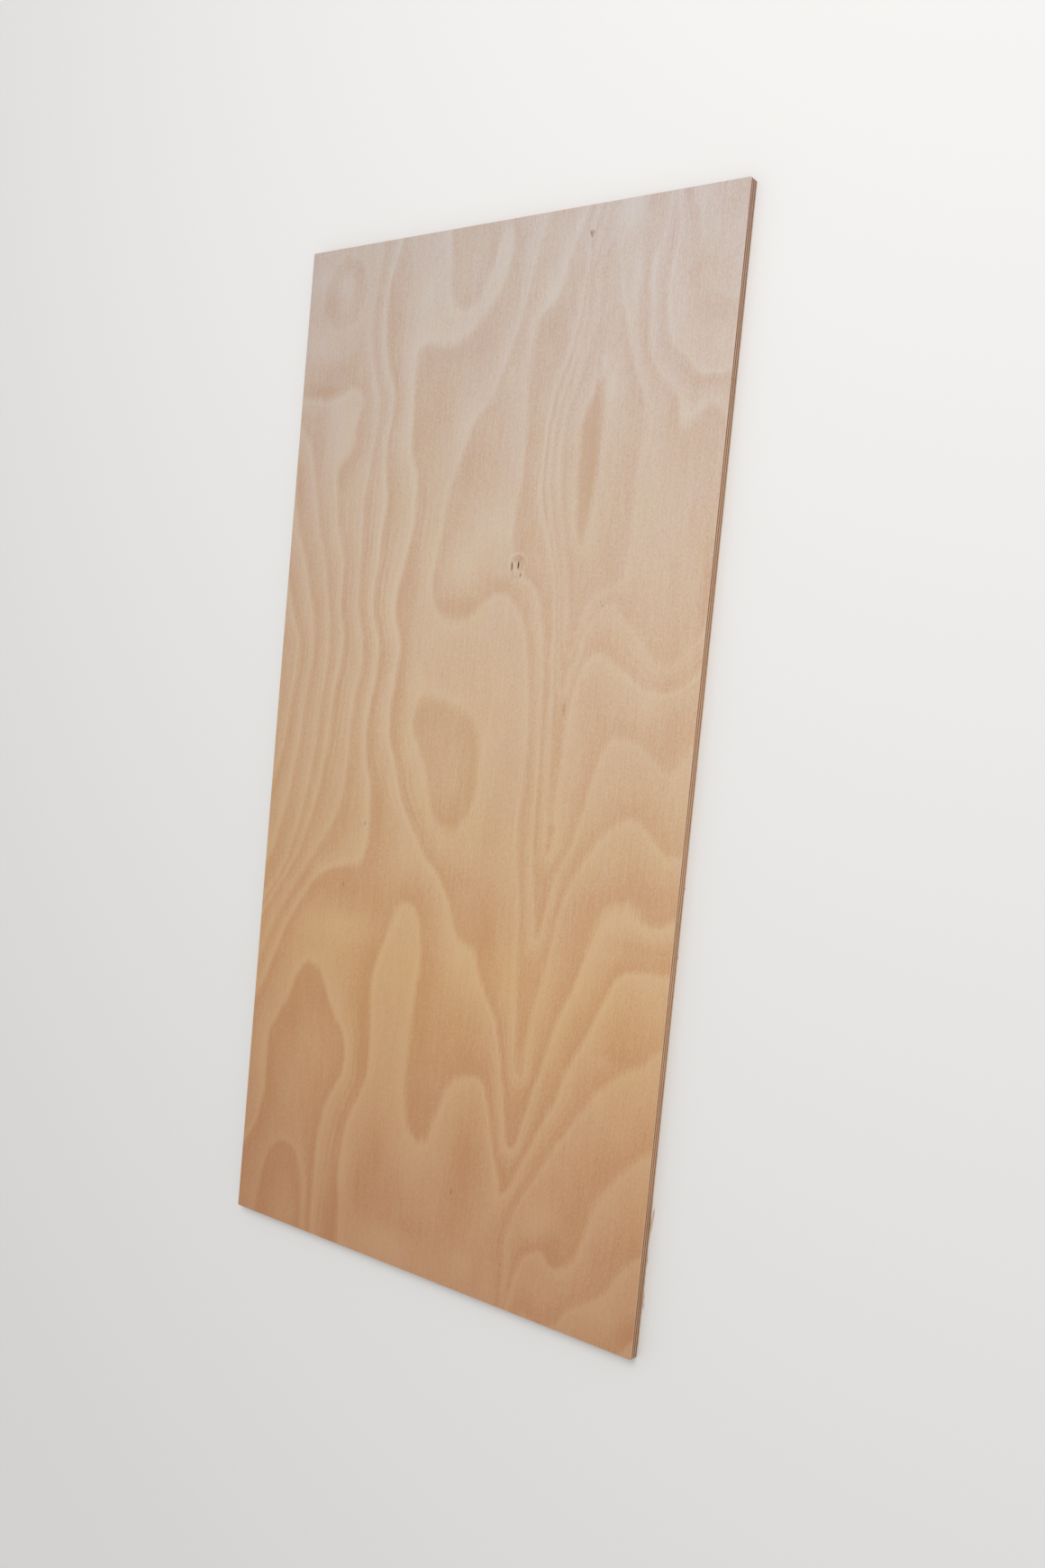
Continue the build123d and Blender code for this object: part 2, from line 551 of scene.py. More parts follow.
# Places between the rings, in millimetres, and how far through its ring each one is
RING_SPOTS = (
    (66, 240, 9.35), (76, 222, 9.35), (94, 216, 9.5), (86, 230, 9.5), (98, 196, 9.5), (104, 168, 9.5),
    (62, 262, 9.3), (72, 290, 9.35), (30, 240, 8.75), (38, 212, 8.6), (70, 330, 9.35), (66, 400, 9.3),
    (70, 450, 9.3), (95, 545, 9.3), (96, 515, 9.35), (-50, 560, 7.3), (-50, 585, 7.3), (0, 578, 6.9),
    (-2, 552, 6.9), (-13, 526, 6.9), (-37, 499, 6.88), (-68, 494, 6.88), (-92, 520, 6.75), (-90, 575, 6.65),
    (-130, 500, 6.5), (-130, 560, 6.4), (-210, -247, 6.75), (-210, -225, 6.55), (-208, -300, 7.25),
    (-215, -380, 7.35), (-225, -430, 7.5), (-215, -470, 7.6), (-228, -540, 8.3), (-180, -500, 7.2),
    (-10, -462, 5.82), (-10, -425, 6.12), (-10, -400, 6.12), (-10, -490, 5.7), (-60, -430, 5.7),
    (-82, -480, 5.35), (-90, -530, 5.35), (-10, -540, 5.45), (-45, -575, 5.75), (60, -375, 5.8),
    (60, -400, 5.55), (62, -440, 5.3), (60, -490, 5.3), (60, -535, 5.35), (60, -572, 5.75), (60, -596, 5.8),
    (88, -590, 5.65), (35, -597, 5.8), (20, -450, 5.75), (92, -470, 5.65), (98, -520, 5.7),
    (112, -500, 5.7), (0, -590, 5.7), (-68, -220, 5.75), (-68, -300, 5.7), (-68, -370, 5.75),
    (-120, -165, 6.12), (-110, -60, 6.25), (-120, -120, 6.15), (-70, -140, 6.5), (-20, -200, 6.3),
    (10, -260, 6.5), (0, -320, 6.25), (10, -360, 6.15), (50, -310, 6.5), (-20, -280, 6.15),
    (-115, -250, 6.2), (-118, -310, 6.2), (-115, -370, 6.3), (-120, -215, 6.4), (-160, -220, 6.7),
    (-190, -190, 6.3), (-230, -260, 6.75), (-60, 430, 7.2), (-60, 380, 7.25), (-60, 440, 7.2),
    (-80, 300, 7.4), (-78, 200, 7.4), (-80, 120, 7.6), (-15, 100, 7.75), (40, 110, 7.85), (55, 30, 7.85),
    (40, -60, 7.75), (-15, 0, 8.3), (-20, -100, 7.8), (60, -180, 7.25), (40, -150, 7.3), (70, -120, 7.6),
    (20, 330, 8.35), (10, 280, 8.6), (0, 230, 8.45), (30, 380, 8.6), (25, 430, 8.7), (-30, 330, 8.2),
    (30, 290, 8.8), (230, 250, 11.4), (270, 300, 11.4), (230, 340, 11.45), (180, 300, 12.25),
    (165, 250, 12.25), (165, 340, 12.5), (120, 330, 12.5), (165, 220, 12.3), (230, 190, 11.4),
    (270, 180, 11.3), (245, 480, 9.6), (285, 440, 9.85), (225, 520, 9.8), (225, 560, 9.8), (275, 400, 10.5),
    (260, 395, 10.5), (285, 540, 8.8), (270, 560, 8.7), (290, 590, 8.3), (150, 590, 11.8), (180, 580, 11.6),
    (165, 540, 11.7), (145, 500, 12.4), (145, 450, 12.5), (145, 530, 12.3), (145, 570, 11.85),
    (240, -10, 8.5), (220, -100, 7.4), (270, -110, 7.2), (240, 70, 9.6), (200, 80, 9.5), (170, 70, 9.3),
    (240, -170, 6.7), (270, -215, 5.85), (290, -230, 5.7), (240, -260, 5.4), (265, -265, 5.2),
    (205, -420, 4.4), (205, -470, 4.2), (175, -480, 4.7), (160, -505, 4.8), (270, -450, 3.7),
    (240, -500, 3.5), (180, -570, 3.7), (280, -570, 2.3), (240, -590, 2.6), (-236, 552, 5.9),
    (-236, 500, 4.75), (-270, 480, 4.8), (-250, 455, 4.3), (-230, 445, 4.25), (-285, 440, 4.3),
    (-200, 480, 4.6), (-290, 585, 4.7), (-210, 600, 4.7), (-250, 390, 3.8), (-225, 400, 3.85),
    (-245, 350, 3.8), (-240, 470, 4.5), (-290, 100, 0.6), (-292, 20, 0.6),
)

# How strongly each level's line shows, from level 0 up
LINE_STRENGTHS = (
    0.5, 0.85, 0.85, 0.72, 0.88, 0.66, 1.05, 1.1, 0.68, 0.8, 0.7, 0.4, 0.4, 0.68, 0.45
)

# Clouds in the face: x, y, half width, half length and tone, and relief where one has it
CLOUDS = (
    (-108, 530, 22, 62, 0.6), (-150, 510, 9, 55, -0.5), (-41, 410, 18, 60, 0.4),
    (-45, 549, 32, 42, 0.0, -0.6), (-17, 222, 30, 28, 0.75), (-80, 205, 10, 40, 0.4),
    (18, 262, 30, 22, 0.65), (-20, 173, 36, 9, -0.5), (30, 200, 18, 9, -0.5), (-22, 330, 16, 30, -0.5),
    (60, 240, 8, 14, -0.25), (66, 350, 9, 90, 0.25), (72, 465, 12, 28, -0.3), (95, 370, 22, 110, 0.0, 0.7),
    (100, 582, 8, 20, 0.4), (84, 548, 8, 22, 0.45), (68, 515, 12, 18, 0.5), (128, 528, 16, 28, -0.3),
    (141, 335, 12, 72, -1.2), (148, 433, 6, 9, 0.8), (159, 407, 4, 13, 0.7), (134, 404, 4, 14, 0.4),
    (190, 490, 24, 90, 0.0, 1.5), (178, 516, 5, 36, 0.9), (196, 525, 3, 30, 0.5), (-164, 520, 6, 40, -0.4),
    (165, 588, 14, 18, 0.8), (190, 593, 7, 13, -0.7), (262, 530, 38, 42, 0.0, -0.8),
    (270, 482, 40, 20, 0.0, -0.7), (247, 517, 10, 12, -0.25), (272, 475, 16, 14, -0.35),
    (262, 385, 34, 26, 0.0, 1.3), (253, 371, 8, 10, 0.5), (285, 580, 20, 20, -0.25),
    (243, 235, 50, 60, 0.35), (-275, 568, 22, 12, 0.5), (-238, 553, 10, 12, 0.6),
    (-240, 545, 40, 42, 0.0, -0.6), (-260, 533, 13, 17, -0.5), (-221, 566, 8, 22, -0.35),
    (-278, 486, 26, 18, 0.65), (-234, 455, 22, 13, -0.6), (-255, 431, 22, 5, -0.8),
    (-262, 385, 13, 38, -0.5), (-222, 388, 19, 40, 0.55), (-223, 325, 9, 14, -0.3),
    (-295, 311, 12, 28, -0.6), (17, 38, 8, 20, -0.5), (-208, 5, 5, 22, 0.6), (-55, 45, 20, 16, -0.25),
    (-12, -25, 15, 26, 0.35), (-5, -70, 14, 7, -0.35), (20, -20, 8, 36, -0.35), (-77, 5, 13, 17, 0.5),
    (-58, -26, 9, 20, 0.4), (-76, 88, 15, 20, 0.4), (60, 78, 24, 48, 0.4), (-97, 82, 6, 42, -0.45),
    (-115, -60, 8, 50, -0.3), (62, -182, 16, 30, -0.55), (25, -132, 20, 11, -0.3), (25, -222, 14, 21, 0.65),
    (50, -248, 15, 14, 0.45), (-65, -110, 16, 20, 0.5), (-36, -129, 15, 13, 0.3),
    (-190, -168, 50, 12, -0.35), (-170, -214, 60, 19, 0.7), (40, -300, 30, 25, -0.4),
    (-231, -345, 18, 20, -0.3), (-205, -303, 26, 26, -0.4), (-160, -305, 13, 26, 0.4),
    (228, -300, 12, 10, 0.45), (-277, -385, 7, 30, 0.5), (2, -372, 10, 14, 0.4), (266, -372, 20, 13, 0.35),
    (-207, -365, 16, 30, 0.3), (-222, -415, 14, 35, 0.3), (-98, -530, 12, 50, -0.5),
    (-76, -465, 10, 30, -0.4), (-122, -500, 6, 28, 0.6), (-20, -548, 38, 8, -0.4),
    (58, -450, 22, 62, -0.45), (-20, -462, 30, 22, 0.4), (15, -520, 25, 20, 0.2), (-50, -579, 38, 18, 0.8),
    (66, -565, 14, 18, 0.6), (-126, -560, 9, 35, -0.5), (90, -565, 9, 28, -0.6), (-115, -330, 10, 45, -0.4),
    (250, -417, 26, 12, -0.15), (190, -510, 17, 24, -0.55), (262, -171, 45, 8, -0.6),
    (230, -340, 12, 12, 0.6), (257, -288, 22, 9, -0.5), (235, 25, 60, 28, 0.0, -0.4),
    (-150, 200, 90, 200, 0.0, 0.3), (-170, 20, 70, 120, 0.0, 0.2), (252, -565, 25, 14, 0.5),
    (294, -575, 9, 16, -1.0), (170, -485, 18, 16, 0.4), (296, 200, 5, 50, -0.7),
    (-250, -525, 60, 60, -0.25), (262, -560, 35, 45, 0.35), (-215, 320, 60, 80, 0.2),
    (225, 565, 60, 50, -0.2),
)
PATCHES = tuple(Patch(*cloud) for cloud in CLOUDS)


class FaceFigure:
    """The growth-ring figure of the face, as heights between the listed ring lines.

    The wood's rings are level sets of one smooth surface, so the surface is the thin plate that
    passes through every ring line at the ring's own level. Lengths are in millimetres. The unit
    is the plate's own, the slack is how loosely it is held, a tiny amount keeps its logarithm
    finite, and a block is how many points are read at a time.
    """

    STRIDE = 14.0
    UNIT = 100.0
    SLACK = 3e-4
    TINY = 1e-6
    BLOCK = 4000
    PITCH_LIMITS = (6.0, 75.0)
    ENDS = (-600.0, 600.0)
    STRENGTH_AT_ENDS = (1.25, 0.75)

    def __init__(self) -> None:
        """Bend the plate through the ring lines and the spots between them."""
        walks = [line.walk(self.STRIDE) for line in RING_LINES]
        levels = [np.full(len(walk), float(line.level)) for walk, line in zip(walks, RING_LINES)]
        spots = np.array(RING_SPOTS, float)
        self.pins = np.vstack([*walks, spots[:, :2]]) / self.UNIT
        heights = np.concatenate([*levels, spots[:, 2], np.zeros(3)])
        count = len(self.pins)
        apart = ((self.pins[:, None] - self.pins[None]) ** 2).sum(-1)
        bend = 0.5 * apart * np.log(apart + self.TINY) + self.SLACK * np.eye(count)
        tilt = np.hstack([np.ones((count, 1)), self.pins])
        system = np.block([[bend, tilt], [tilt.T, np.zeros((3, 3))]])
        self.weights = np.linalg.solve(system, heights)

    def read_plate(self, spots: np.ndarray) -> np.ndarray:
        """Read the bent plate at some points.

        Args:
            spots: The points, in the plate's own unit.

        Returns:
            Three rows: the ring number, the ring's width, and how far the ring crosses the grain.
        """
        dx = spots[:, :1] - self.pins[:, 0]
        dy = spots[:, 1:] - self.pins[:, 1]
        apart = dx * dx + dy * dy + self.TINY
        log_apart = np.log(apart)
        pull = self.weights[:-3]
        lift, across, along = self.weights[-3:]
        ring = (0.5 * apart * log_apart) @ pull + lift + spots @ np.array([across, along])
        rise_x = ((log_apart + 1) * dx) @ pull + across
        rise_y = ((log_apart + 1) * dy) @ pull + along
        steepness = np.hypot(rise_x, rise_y)
        return np.stack([ring, self.UNIT / steepness, np.abs(rise_y) / steepness])

    def read(self, x: np.ndarray, y: np.ndarray) -> dict[str, np.ndarray]:
        """Read the figure at points of the face.

        Args:
            x: Across the sheet from its centre.
            y: Along the sheet from its centre.

        Returns:
            For each point: ring, how many rings have been passed; pitch, the ring's width; lie,
            0 where the ring runs along the grain and 1 where it crosses it; strength, how
            strongly its lines show; tone, paler or darker clouds.
        """
        spots = np.stack([x, y], 1) / self.UNIT
        starts = range(0, len(spots), self.BLOCK)
        ring, pitch, lie = np.hstack([self.read_plate(spots[at : at + self.BLOCK]) for at in starts])
        strength = np.interp(ring, range(len(LINE_STRENGTHS)), LINE_STRENGTHS)
        strength *= np.interp(y, self.ENDS, self.STRENGTH_AT_ENDS)
        tone = np.zeros(len(spots))
        for patch in PATCHES:
            cloud = patch.cloud(x, y)
            tone += patch.tone * cloud
            strength *= 1 + patch.relief * cloud
        pitch = np.clip(pitch, *self.PITCH_LIMITS)
        return {"ring": ring, "pitch": pitch, "lie": lie, "strength": strength, "tone": tone}


@dataclass(frozen=True)
class Check(Oval):
    """A drying check in the knot, placed from the knot and turned by its tilt, in degrees.

    Its walls take an outer share of it, and fall to its floor along a curve. Its darkness sets how much
    painted shade fills the crack, and how brown the wood round it turns.
    """

    tilt: float
    darkness: float

    WALL_SHARE = 0.45
    WALL_CURVE = 0.7

    def depth(self, x: np.ndarray, y: np.ndarray, margin: float = 0.0) -> np.ndarray:
        """Args:
            x: Across the sheet from the knot, in millimetres.
            y: Along the sheet from the knot, in millimetres.

        Returns:
            The share of the check's full depth at each point, 0 outside it.
        """
        turn = math.radians(self.tilt)
        dx, dy = x - self.x, y - self.y
        u = (dx * math.cos(turn) + dy * math.sin(turn)) / (self.half_width + margin)
        v = (dy * math.cos(turn) - dx * math.sin(turn)) / (self.half_length + margin)
        return np.clip((1 - u * u - v * v) / self.WALL_SHARE, 0, 1) ** self.WALL_CURVE


@dataclass(frozen=True)
class Knot:
    """The open knot in the face, in millimetres, with its marks and checks placed from it."""

    body: Oval = Oval(55.0, 218.0, 10.0, 12.0)
    checks: tuple[Check, ...] = (
        Check(-5.8, 1.8, 0.8, 5.0, tilt=3.0, darkness=0.75),
        Check(3.0, 3.0, 0.85, 4.25, tilt=-3.0, darkness=1.0),
        Check(7.0, -8.0, 0.6, 2.25, tilt=-14.0, darkness=0.55),
    )
    check_edge: float = 1.6
    stain_margin: float = 0.9
    stain_brown: float = 0.35
    rim: float = 1.05
    rim_width: float = 0.2
    body_brown: float = 0.04
    cap: Oval = Oval(2.0, 10.0, 8.5, 4.0)
    cap_brown: float = 0.18
    floor: Oval = Oval(0.0, -10.0, 6.0, 1.3)
    floor_brown: float = 0.12
    arc: Oval = Oval(2.0, 2.0, 13.0, 14.0)
    arc_width: float = 0.09
    arc_start: float = 1.0
    arc_rise: float = 7.0
    flanks_middle: float = 1.0
    flank: Oval = Oval(10.5, -2.0, 2.0, 6.0)
    flank_share: float = 0.4
    parting: float = -0.6
    parting_reach: float = 1.3

    def marks(self, x: np.ndarray, y: np.ndarray) -> dict[str, np.ndarray]:
        """Read the knot at points of the face.

        Args:
            x: Across the sheet, in millimetres.
            y: Along the sheet, in millimetres.

        Returns:
            For each point: depth, the share of a check's full depth; check, the painted shade in a
            check; knot, the knot's brownness; over, the pale arcs round the knot; bend, how far the
            fibres part round it, in millimetres.
        """
        dx, dy = x - self.body.x, y - self.body.y
        depth, dark, stain = np.zeros((3, len(x)))
        for check in self.checks:
            own = check.depth(dx, dy)
            depth = np.maximum(depth, own)
            # Painted shade inside each check, by its darkness
            dark = np.maximum(dark, np.clip(own * self.check_edge, 0, 1) * check.darkness)
            stain = np.maximum(stain, check.depth(dx, dy, self.stain_margin) * check.darkness)
        reach = np.hypot(*self.body.away(x, y))
        inside = np.clip((self.rim - reach) / self.rim_width, 0, 1)
        cap = np.exp(-(np.hypot(*self.cap.away(dx, dy)) ** 4))
        across, along = self.floor.away(dx, dy)
        floor = np.exp(-(across**4) - along**2)
        brown = self.body_brown * inside + self.cap_brown * cap
        brown += self.floor_brown * floor + self.stain_brown * stain
        arc = np.exp(-(((np.hypot(*self.arc.away(dx, dy)) - 1) / self.arc_width) ** 2))
        over = np.clip((dy - self.arc_start) / self.arc_rise, 0, 1) * arc
        across, along = self.flank.away(np.abs(dx - self.flanks_middle), dy)
        return {
            "depth": depth,
            "check": dark,
            "knot": np.clip(brown, 0, 1),
            "over": over + self.flank_share * np.exp(-(across**2) - along**2),
            "bend": self.parting * dx * np.exp(-((reach / self.parting_reach) ** 2)),
        }


@dataclass(frozen=True)
class FaceFinish:
    """The look of the sanded face: its colours with painted light along and across it, its rings, its fibres
    and its flecks.
    """

    # The wood's tone from the lower end up, with painted light: darker and warmer towards the lower end, and
    # paler and greyer towards the upper end, where a painted sheen greys it
    tone_and_painted_light_from_lower_end: Stops = (
        (0.0, paint(196, 154, 117)),
        (0.3, paint(214, 178, 133)),
        (0.62, paint(214, 192, 165)),
        (1.0, paint(204, 197, 192)),
    )
    # Painted light across the sheet: darker and warmer at the left side, paler and bluer at the right
    painted_light_from_left_side: Stops = (
        (0.0, (0.93, 0.885, 0.89, 1.0)),
        (0.3, (0.985, 0.97, 0.97, 1.0)),
        (1.0, (1.03, 1.035, 1.09, 1.0)),
    )
    from_dark: Stops = ((0.0, (0.85, 0.70, 0.61, 1.0)), (0.5, (0.94, 0.875, 0.835, 1.0)), (1.0, WHITE))
    rosy: Colour = (1.006, 0.985, 0.992, 1.0)
    rosy_clouds: tuple[Triple, ...] = ((60, 24, 800), (220, 90, 1100))
    sunny: Colour = (1.0, 1.004, 0.96, 1.0)
    sunny_clouds: tuple[Triple, ...] = ((90, 30, 1300), (24, 9, 1700))
    tint_share: Slope = Slope(-0.7, 0.7)
    # The face is paler over its rounded arris and down its sides
    pale_arris_colour: Colour = paint(233, 208, 186)
    pale_arris_faces: Slope = Slope(0.5, 0.97, 0.45, 0.0)
    end_grain: Colour = paint(170, 124, 92)
    end_faces: Slope = Slope(0.7, 0.95, 0.0, 0.85)
    # Painted shade inside the checks
    check_shade_brown: Colour = paint(80, 48, 28)
    knot_brown: Colour = paint(176, 132, 98)
    fleck_brown: Colour = paint(185, 168, 132)
    fleck_outline: Pattern = Pattern((700, 300, 900), weight=0.3)
    fleck_core: float = 0.3
    fleck_rim: float = 1.2
    # Flecks and pin knots: x, y, half width and half length in millimetres, and how dark
    flecks: tuple[Patch, ...] = (
        Patch(114.7, 571, 2.3, 2.75, 0.75),
        Patch(117.3, 571, 2.1, 2.3, 0.5),
        Patch(116, 568, 2.1, 3, 0.7),
        Patch(117, 559, 2, 8, 0.22),
        Patch(174, 179, 1.1, 1.5, 0.75),
        Patch(-163, -163, 0.85, 3.5, 1.0),
        Patch(44, -490, 0.75, 4, 0.95),
        Patch(137, 68, 2.5, 8, 0.35),
        Patch(-136, -86, 1, 3, 0.75),
    )
    # The outline of the rings, which frays most where it crosses the grain
    ragged: Pattern = Pattern((420, 34, 500), weight=1.0)
    frayed: Pattern = Pattern((760, 13, 300), 3.0, 0.65)
    fray_along: float = 0.5
    fray_across: float = 5.0
    wander: Pattern = Pattern((60, 18, 200), 2.0, 0.5, weight=1.4)
    # The tone through one ring, by the share of it that has been passed
    ridge: Slope = Slope(0.42, 0.94, 0.0, 0.4)
    groove: Slope = Slope(0.06, 0.6, -0.52, 0.0)
    drift: float = 0.1
    threads_in_a_ring: float = 4.0
    thread: Slope = Slope(0.05, 0.4, 0.3, -0.15)
    threaded_places: Pattern = Pattern((14, 4, 100), 2.0, 0.5, slope=Slope(-0.3, 0.4))
    # The same, by millimetres from the ring's line or across the ring
    crest: Slope = Slope(3.0, 13.0, 0.34, 0.0)
    soft_share: float = 0.2
    soft_reach: float = 3.4
    wide_rings: Slope = Slope(9.0, 24.0)
    narrow_rings: Slope = Slope(32.0, 58.0, 1.0, 0.0)
    cloud_weight: float = 0.85
    # The wood's own texture, which flows round the knot: clouds, streaks, fibres, grit and pores
    texture: tuple[Pattern, ...] = (
        Pattern((22, 7, 100), 3.0, 0.55, weight=0.3),
        Pattern((330, 9, 600), 3.0, 0.65, weight=0.25),
        Pattern((1000, 26, 900), 3.0, 0.65, weight=0.65, relief=0.2),
        Pattern((2600, 120, 900), weight=0.7, relief=0.3),
        Pattern((800, 330, 900), 3.0, 0.75, weight=1.25),
        Pattern((800, 75, 400), weight=-0.8, slope=Slope(0.42, 0.95)),
        Pattern((3800, 330, 700), 1.0, 0.5, weight=-0.7, relief=-1.0, slope=Slope(0.42, 0.8)),
    )
    texture_depth: float = 0.06 * MM

    def figure(self, sheet: NodeSheet, place: Socket) -> Socket:
        """Turn the ring numbers on the veneer into one tone.

        Args:
            sheet: The node sheet being written.
            place: The point's place.

        Returns:
            The tone, about -1 for the dark late wood to 1 for the palest early wood.
        """
        pitch = sheet.attribute("pitch")
        outline, _ = sheet.shares(place, (self.ragged, self.wander))
        fray = sheet.math("MULTIPLY_ADD", sheet.attribute("lie"), self.fray_across, self.fray_along)
        outline.append(sheet.times(sheet.noise(place, self.frayed), fray))
        shift = sheet.math("DIVIDE", sheet.total(*outline), pitch)
        passed = sheet.math("FRACT", sheet.total(sheet.attribute("ring"), shift))
        after = sheet.times(passed, pitch)
        before = sheet.times(sheet.math("SUBTRACT", 1.0, passed), pitch)
        drift = sheet.times(sheet.math("SUBTRACT", passed, 0.5), self.drift)
        share = sheet.math("FRACT", sheet.times(passed, self.threads_in_a_ring))
        threads = sheet.times(
            sheet.slope(sheet.math("ABSOLUTE", sheet.math("SUBTRACT", share, 0.5)), self.thread),
            sheet.noise(place, self.threaded_places),
            sheet.slope(pitch, self.wide_rings),
            sheet.slope(pitch, self.narrow_rings),
        )
        line = sheet.total(
            sheet.slope(passed, self.ridge),
            sheet.slope(before, self.crest),
            sheet.slope(passed, self.groove),
            drift,
            threads,
        )
        reach = sheet.math("MINIMUM", sheet.times(pitch, self.soft_share), self.soft_reach)
        away = sheet.slope(sheet.math("MINIMUM", after, before), Slope(0.0, reach))
        rings = sheet.times(line, away, sheet.attribute("strength"))
        return sheet.total(rings, sheet.times(sheet.attribute("tone"), self.cloud_weight))

    def flecked(self, sheet: NodeSheet, place: Socket, colour: Socket) -> Socket:
        """Lay the flecks and the pin knots over a colour.

        Args:
            sheet: The node sheet being written.
            place: The point's place.
            colour: The colour.

        Returns:
            The colour with its flecks.
        """
        brown = sheet.tinted(colour, self.fleck_brown)
        outline = sheet.times(sheet.noise(place, self.fleck_outline), self.fleck_outline.weight)
        for fleck in self.flecks:
            offset = sheet.vector("SUBTRACT", place, (fleck.x * MM, fleck.y * MM, 0))
            size = (1 / (fleck.half_width * MM), 1 / (fleck.half_length * MM), 0)
            reach = sheet.total(sheet.length(sheet.vector("MULTIPLY", offset, size)), outline)
            share = sheet.slope(reach, Slope(self.fleck_core, self.fleck_rim, fleck.tone, 0.0))
            colour = sheet.mix(share, colour, brown)
        return colour

    def material(self) -> bpy.types.Material:
        """Write the material.

        Returns:
            The material of the sanded face.
        """
        sheet = MaterialSheet("sanded_face")
        place = sheet.place()
        x, y, _ = sheet.split(place)
        aside = sheet.add("ShaderNodeCombineXYZ", {"X": sheet.times(sheet.attribute("bend"), MM)})
        flow = sheet.vector("ADD", place, aside.outputs[0])
        tones, reliefs = sheet.shares(flow, self.texture)
        shade = sheet.ramp(sheet.total(self.figure(sheet, place), *tones), self.from_dark)
        # The wood's tone and painted light along the sheet, times the figure's shade
        colour = sheet.tinted(sheet.ramp(y, self.tone_and_painted_light_from_lower_end, 1 / SHEET_LENGTH), shade)
        # Painted light across the sheet, darker at the left side
        colour = sheet.tinted(colour, sheet.ramp(x, self.painted_light_from_left_side, 1 / SHEET_WIDTH))
        for tint, clouds in ((self.rosy, self.rosy_clouds), (self.sunny, self.sunny_clouds)):
            for scale in clouds:
                share = sheet.noise(place, Pattern(scale, 3.0, slope=self.tint_share))
                colour = sheet.mix(share, colour, sheet.tinted(colour, tint))
        colour = self.flecked(sheet, place, colour)
        colour = sheet.mix(sheet.slope(sheet.facing(Z), self.pale_arris_faces), colour, self.pale_arris_colour)
        end = sheet.slope(sheet.squarely(Y), self.end_faces)
        colour = sheet.mix(end, colour, sheet.tinted(self.end_grain, shade))
        colour = sheet.mix(sheet.attribute("knot"), colour, sheet.tinted(colour, self.knot_brown))
        # Painted shade in the checks
        colour = sheet.mix(sheet.attribute("check"), colour, self.check_shade_brown)
        return sheet.finish(colour, sheet.total(*reliefs), self.texture_depth)


